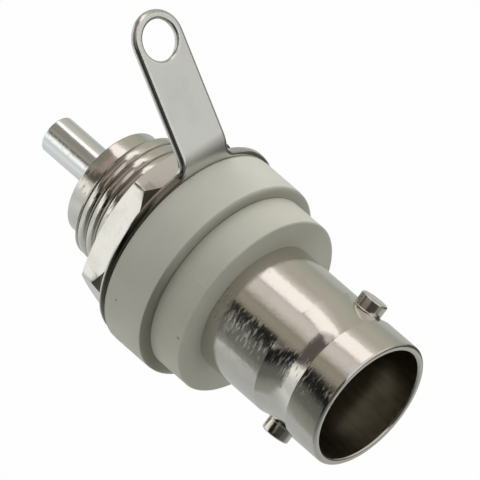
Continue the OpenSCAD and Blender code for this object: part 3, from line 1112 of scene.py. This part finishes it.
# Tone of the floor as metal mirrors it, by its distance behind the jack in millimetres
MIRRORED_FLOOR = (
    (-150, 0.14),
    (-90, 0.22),
    (-45, 0.45),
    (0, 0.56),
    (30, 0.58),
    (43, 0.67),
    (66, 0.88),
    (100, 0.72),
    (190, 0.80),
    (500, 0.90),
)

# Tones of the dark cards round the jack, which only its metal mirrors, by clock angle
SIDE_CARD = (
    (-142, (0.40, 0.42, 0.38)),
    (-118, (0.31, 0.32, 0.29)),
    (-110, (0.26, 0.27, 0.245)),
    (-102, (0.165, 0.17, 0.155)),
    (-90, (0.15, 0.155, 0.145)),
    (-81, (0.125, 0.13, 0.12)),
    (-75, (0.02, 0.02, 0.02)),
    (-63, (0.010, 0.010, 0.011)),
    (-51, (0.02, 0.018, 0.016)),
)
THREAD_CARD = (
    (-61, (0.09, 0.09, 0.07)),
    (-41, (0.10, 0.09, 0.07)),
    (-37, (0.22, 0.18, 0.16)),
    (-3, (0.25, 0.205, 0.185)),
)
PILOT_CARD = (
    (-61, (0.10, 0.10, 0.08)),
    (-42, (0.11, 0.105, 0.085)),
    (-38, (0.42, 0.345, 0.32)),
    (-3, (0.50, 0.42, 0.39)),
)
BACK_CARD = (
    (-51, (0.30, 0.28, 0.23)),
    (-40, (0.37, 0.35, 0.30)),
    (-32, (0.28, 0.26, 0.22)),
    (-3, (0.26, 0.24, 0.21)),
)

# Rows of the cards: a station along the axis and the two clock angles that the card spans there
SIDE_ROWS = ((-60, -158, -76), (-12, -150, -69), (15, -140, -53), (22, -118, -52), (28, -117, -51.5))
THREAD_ROWS = ((12, -61, -3), (17.2, -61, -3))
PILOT_ROWS = ((17.2, -61, -3), (20.5, -61, -2))
BACK_ROWS = ((20.5, -50, -1), (24, -50, 5), (31, -50, 6))

CARDS = (
    ("side_card", 60.0, SIDE_ROWS, SIDE_CARD),
    ("thread_card", 20.0, THREAD_ROWS, THREAD_CARD),
    ("pilot_card", 20.0, PILOT_ROWS, PILOT_CARD),
    ("back_card", 20.0, BACK_ROWS, BACK_CARD),
)

TARGET = (1.635, 1.0184, 2.1113)  # what the camera looks at
WHITE, BLACK = (1, 1, 1, 1), (0, 0, 0, 1)


def around(graph, clock, tones):
    """A colour by clock angle in degrees, from a table of angles and colours."""
    stops = [(angle / 360 + 0.5, tone) for angle, tone in tones]
    return graph.add("ShaderNodeValToRGB", {"stops": stops}, {0: clock / 360 + 0.5})


def rays(graph, *kinds):
    """For each kind of ray, such as Glossy, 1 where the light path is of that kind."""
    paths = graph.add("ShaderNodeLightPath").socket.node.outputs
    return [Wire(graph, paths[f"Is {kind} Ray"]) for kind in kinds]


def staged(name, vertices, faces):
    """A stage object from points in millimetres, with a material of its own, and that material's graph."""
    mesh = bpy.data.meshes.new(name)
    mesh.from_pydata([Vector(v) / MM for v in vertices], [], faces)
    made = linked(name, mesh)
    material, graph = painted(name)
    mesh.materials.append(material)
    return made, material, graph


def glow(graph, colour, factor=None, other=None):
    """Ends a graph in an emission, mixed by a factor with another shader where one is given."""
    light = graph.add("ShaderNodeEmission", inputs={"Color": colour, "Strength": 1.0})
    if other:
        light = graph.add("ShaderNodeMixShader", inputs={0: factor, 1: other, 2: light})
    graph.add("ShaderNodeOutputMaterial", inputs={"Surface": light})


class JACK_OT_studio(JackOperator, bpy.types.Operator):
    """Set up the pale floor, the soft studio light and the camera"""

    bl_idname = "jack.studio"
    bl_label = "Studio"

    def execute(self, context):
        scene = context.scene
        studio = scene.jack_studio
        right, up, back = camera_frame(studio)
        lens = bpy.data.cameras.new("camera")
        lens.lens, lens.sensor_width = studio.lens, 36
        lens.clip_start, lens.clip_end = 0.05, 20
        camera = linked("camera", lens)
        turn = Matrix((right, up, back)).transposed().to_4x4()
        camera.matrix_world = Matrix.Translation(Vector(TARGET) / MM + back * studio.distance) @ turn
        scene.camera = camera
        scene.view_settings.view_transform = "Standard"
        self.floor()
        for card in CARDS:
            self.card(*card)
        self.softbox(studio)
        self.room(scene, studio)
        return {"FINISHED"}

    def floor(self):
        """White paper under the jack, which metal mirrors in darker tones."""
        reach, height = 1600, -55
        corners = [(x * reach, y * reach, height) for x, y in ((-1, -1), (1, -1), (1, 1), (-1, 1))]
        graph = staged("floor", corners, [(0, 1, 2, 3)])[2]
        seen, mirrored, clear = rays(graph, "Camera", "Glossy", "Transmission")
        x, y = graph.place()[1:3]
        near, far = MIRRORED_FLOOR[0][0], MIRRORED_FLOOR[-1][0]
        stops = [((at - near) / (far - near), (tone * 0.965, tone, tone)) for at, tone in MIRRORED_FLOOR]
        tone = graph.add("ShaderNodeValToRGB", {"stops": stops}, {0: (y - near) / (far - near)})
        right = graph.blend(y.rise(-90.0, -200.0), (0.54, 0.56, 0.53, 1), (0.40, 0.39, 0.36, 1))
        right = graph.blend(x.rise(58.0, 88.0) * y.rise(40.0, 10.0), right, (0.10, 0.10, 0.085, 1))
        tone = graph.blend(mirrored, WHITE, graph.blend(x.rise(10.0, 60.0), tone, right))
        paper = graph.add("ShaderNodeBsdfDiffuse", inputs={"Color": (0.88, 0.88, 0.87, 1)})
        glow(graph, tone, (seen + clear) * 0.92 + mirrored, paper)

    def card(self, name, radius, rows, tones):
        """A dark card bent round the jack at a radius, in millimetres, which only mirrored light meets."""
        steps = 40
        vertices, faces = [], []
        for y, first, last in rows:
            for k in range(steps + 1):
                a = math.radians(first + (last - first) * k / steps)
                vertices.append((radius * math.sin(a), y, radius * math.cos(a)))
        for row in range(len(rows) - 1):
            for k in range(steps):
                i = row * (steps + 1) + k
                faces.append((i, i + 1, i + steps + 2, i + steps + 1))
        card, material, graph = staged(name, vertices, faces)
        card.visible_camera = card.visible_diffuse = card.visible_transmission = False
        card.visible_volume_scatter = card.visible_shadow = False
        material.cycles.emission_sampling = "NONE"
        x, y, z = graph.place()[1:]
        # The tones lean with the card's edge in front of this station, in degrees for each millimetre
        slant = (18.0 - y).lesser(40.0).greater(0.0) * 0.58
        glow(graph, around(graph, clock_angle(x, z) * DEGREES + slant, tones))

    def softbox(self, studio):
        """A large soft lamp above the jack and behind it."""
        towards = Vector((0.194, 0.43, 0.872)).normalized()
        lamp = bpy.data.lights.new("softbox", "AREA")
        lamp.shape = "RECTANGLE"
        lamp.size, lamp.size_y = 0.24, 0.64
        lamp.energy = studio.softbox * math.pi * lamp.size * lamp.size_y
        lamp.color = (1.0, 0.975, 0.985)
        box = linked("softbox", lamp)
        side = AXIS_Y.cross(towards).normalized()
        turn = Matrix((side, towards.cross(side), towards)).transposed().to_4x4()
        box.matrix_world = Matrix.Translation(towards * 0.6) @ turn

    def room(self, scene, studio):
        """Light from all sides, which metal and matt surfaces each see in their own way."""
        world = bpy.data.worlds.new("room")
        scene.world = world
        world.use_nodes = True
        graph = Graph(world.node_tree)
        x, y, z = graph.split(graph.add("ShaderNodeTexCoord", output="Generated"))
        clock = clock_angle(x, z) * DEGREES
        sharp = around(graph, clock, MIRRORED_ROOM)
        # The far end is dark to the upper left, and the near end is light but for the place where one stands
        far_dark = y.rise(0.52, 0.58) * clock.rise(-66.0, -62.0) * (clock - (y - 0.56) * 75.0).rise(5.0, 0.0)
        sharp = graph.blend(far_dark, sharp, (0.12, 0.105, 0.10, 1))
        near = y.rise(-0.15, -0.45)
        low = clock.within(72.0, 140.0, 12.0)
        sharp = graph.blend(near, sharp, graph.blend(low, (0.88, 0.88, 0.87, 1), (0.38, 0.365, 0.34, 1)))
        left = y.rise(-0.10, -0.35) * clock.within(-98.0, -34.0, 8.0)
        sharp = graph.blend(left, sharp, (0.07, 0.065, 0.055, 1))
        soft = around(graph, clock, SOFT_ROOM)
        shadow = y.rise(0.15, -0.5) * (0.83 - clock.within(-5.0, 80.0, 25.0) * 0.27)
        soft = graph.blend(shadow, soft, BLACK)
        soft = graph.blend(y.rise(-0.15, 0.5) * 0.12, soft, (2.5, 2.5, 2.5, 1))
        seen, mirrored, clear = rays(graph, "Camera", "Glossy", "Transmission")
        shade = graph.blend((seen + clear).lesser(1.0), graph.blend(mirrored, soft, sharp), WHITE)
        light = graph.add("ShaderNodeBackground", inputs={"Color": shade, "Strength": studio.room})
        graph.add("ShaderNodeOutputWorld", inputs={"Surface": light})


# ---------------------------------------------------------------- panel and registration

OPERATORS = (
    JACK_OT_shell,
    JACK_OT_pins,
    JACK_OT_insulators,
    JACK_OT_lug,
    JACK_OT_nut,
    JACK_OT_contact,
    JACK_OT_studio,
)


class JACK_PT_parts(bpy.types.Panel):
    """Lists the jack's pieces with their sizes and colours"""

    bl_idname = "JACK_PT_parts"
    bl_label = "Isolated jack"
    bl_space_type = "VIEW_3D"
    bl_region_type = "UI"
    bl_category = "Jack"

    def draw(self, context):
        for operator in OPERATORS:
            self.layout.operator(operator.bl_idname)
        for key, group in GROUPS.items():
            box = self.layout.box()
            for name in group.__annotations__:
                box.prop(getattr(context.scene, key), name)


def register():
    for group in GROUPS.values():
        bpy.utils.register_class(group)
    for key, group in GROUPS.items():
        setattr(bpy.types.Scene, key, bpy.props.PointerProperty(type=group))
    for kind in (*OPERATORS, JACK_PT_parts):
        bpy.utils.register_class(kind)


def unregister():
    for kind in reversed((*OPERATORS, JACK_PT_parts)):
        bpy.utils.unregister_class(kind)
    for key in GROUPS:
        delattr(bpy.types.Scene, key)
    for group in reversed(list(GROUPS.values())):
        bpy.utils.unregister_class(group)


def main():
    """Registers the classes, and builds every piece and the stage."""
    register()
    for operator in OPERATORS:
        group, name = operator.bl_idname.split(".")
        getattr(getattr(bpy.ops, group), name)()


if __name__ == "__main__":
    main()
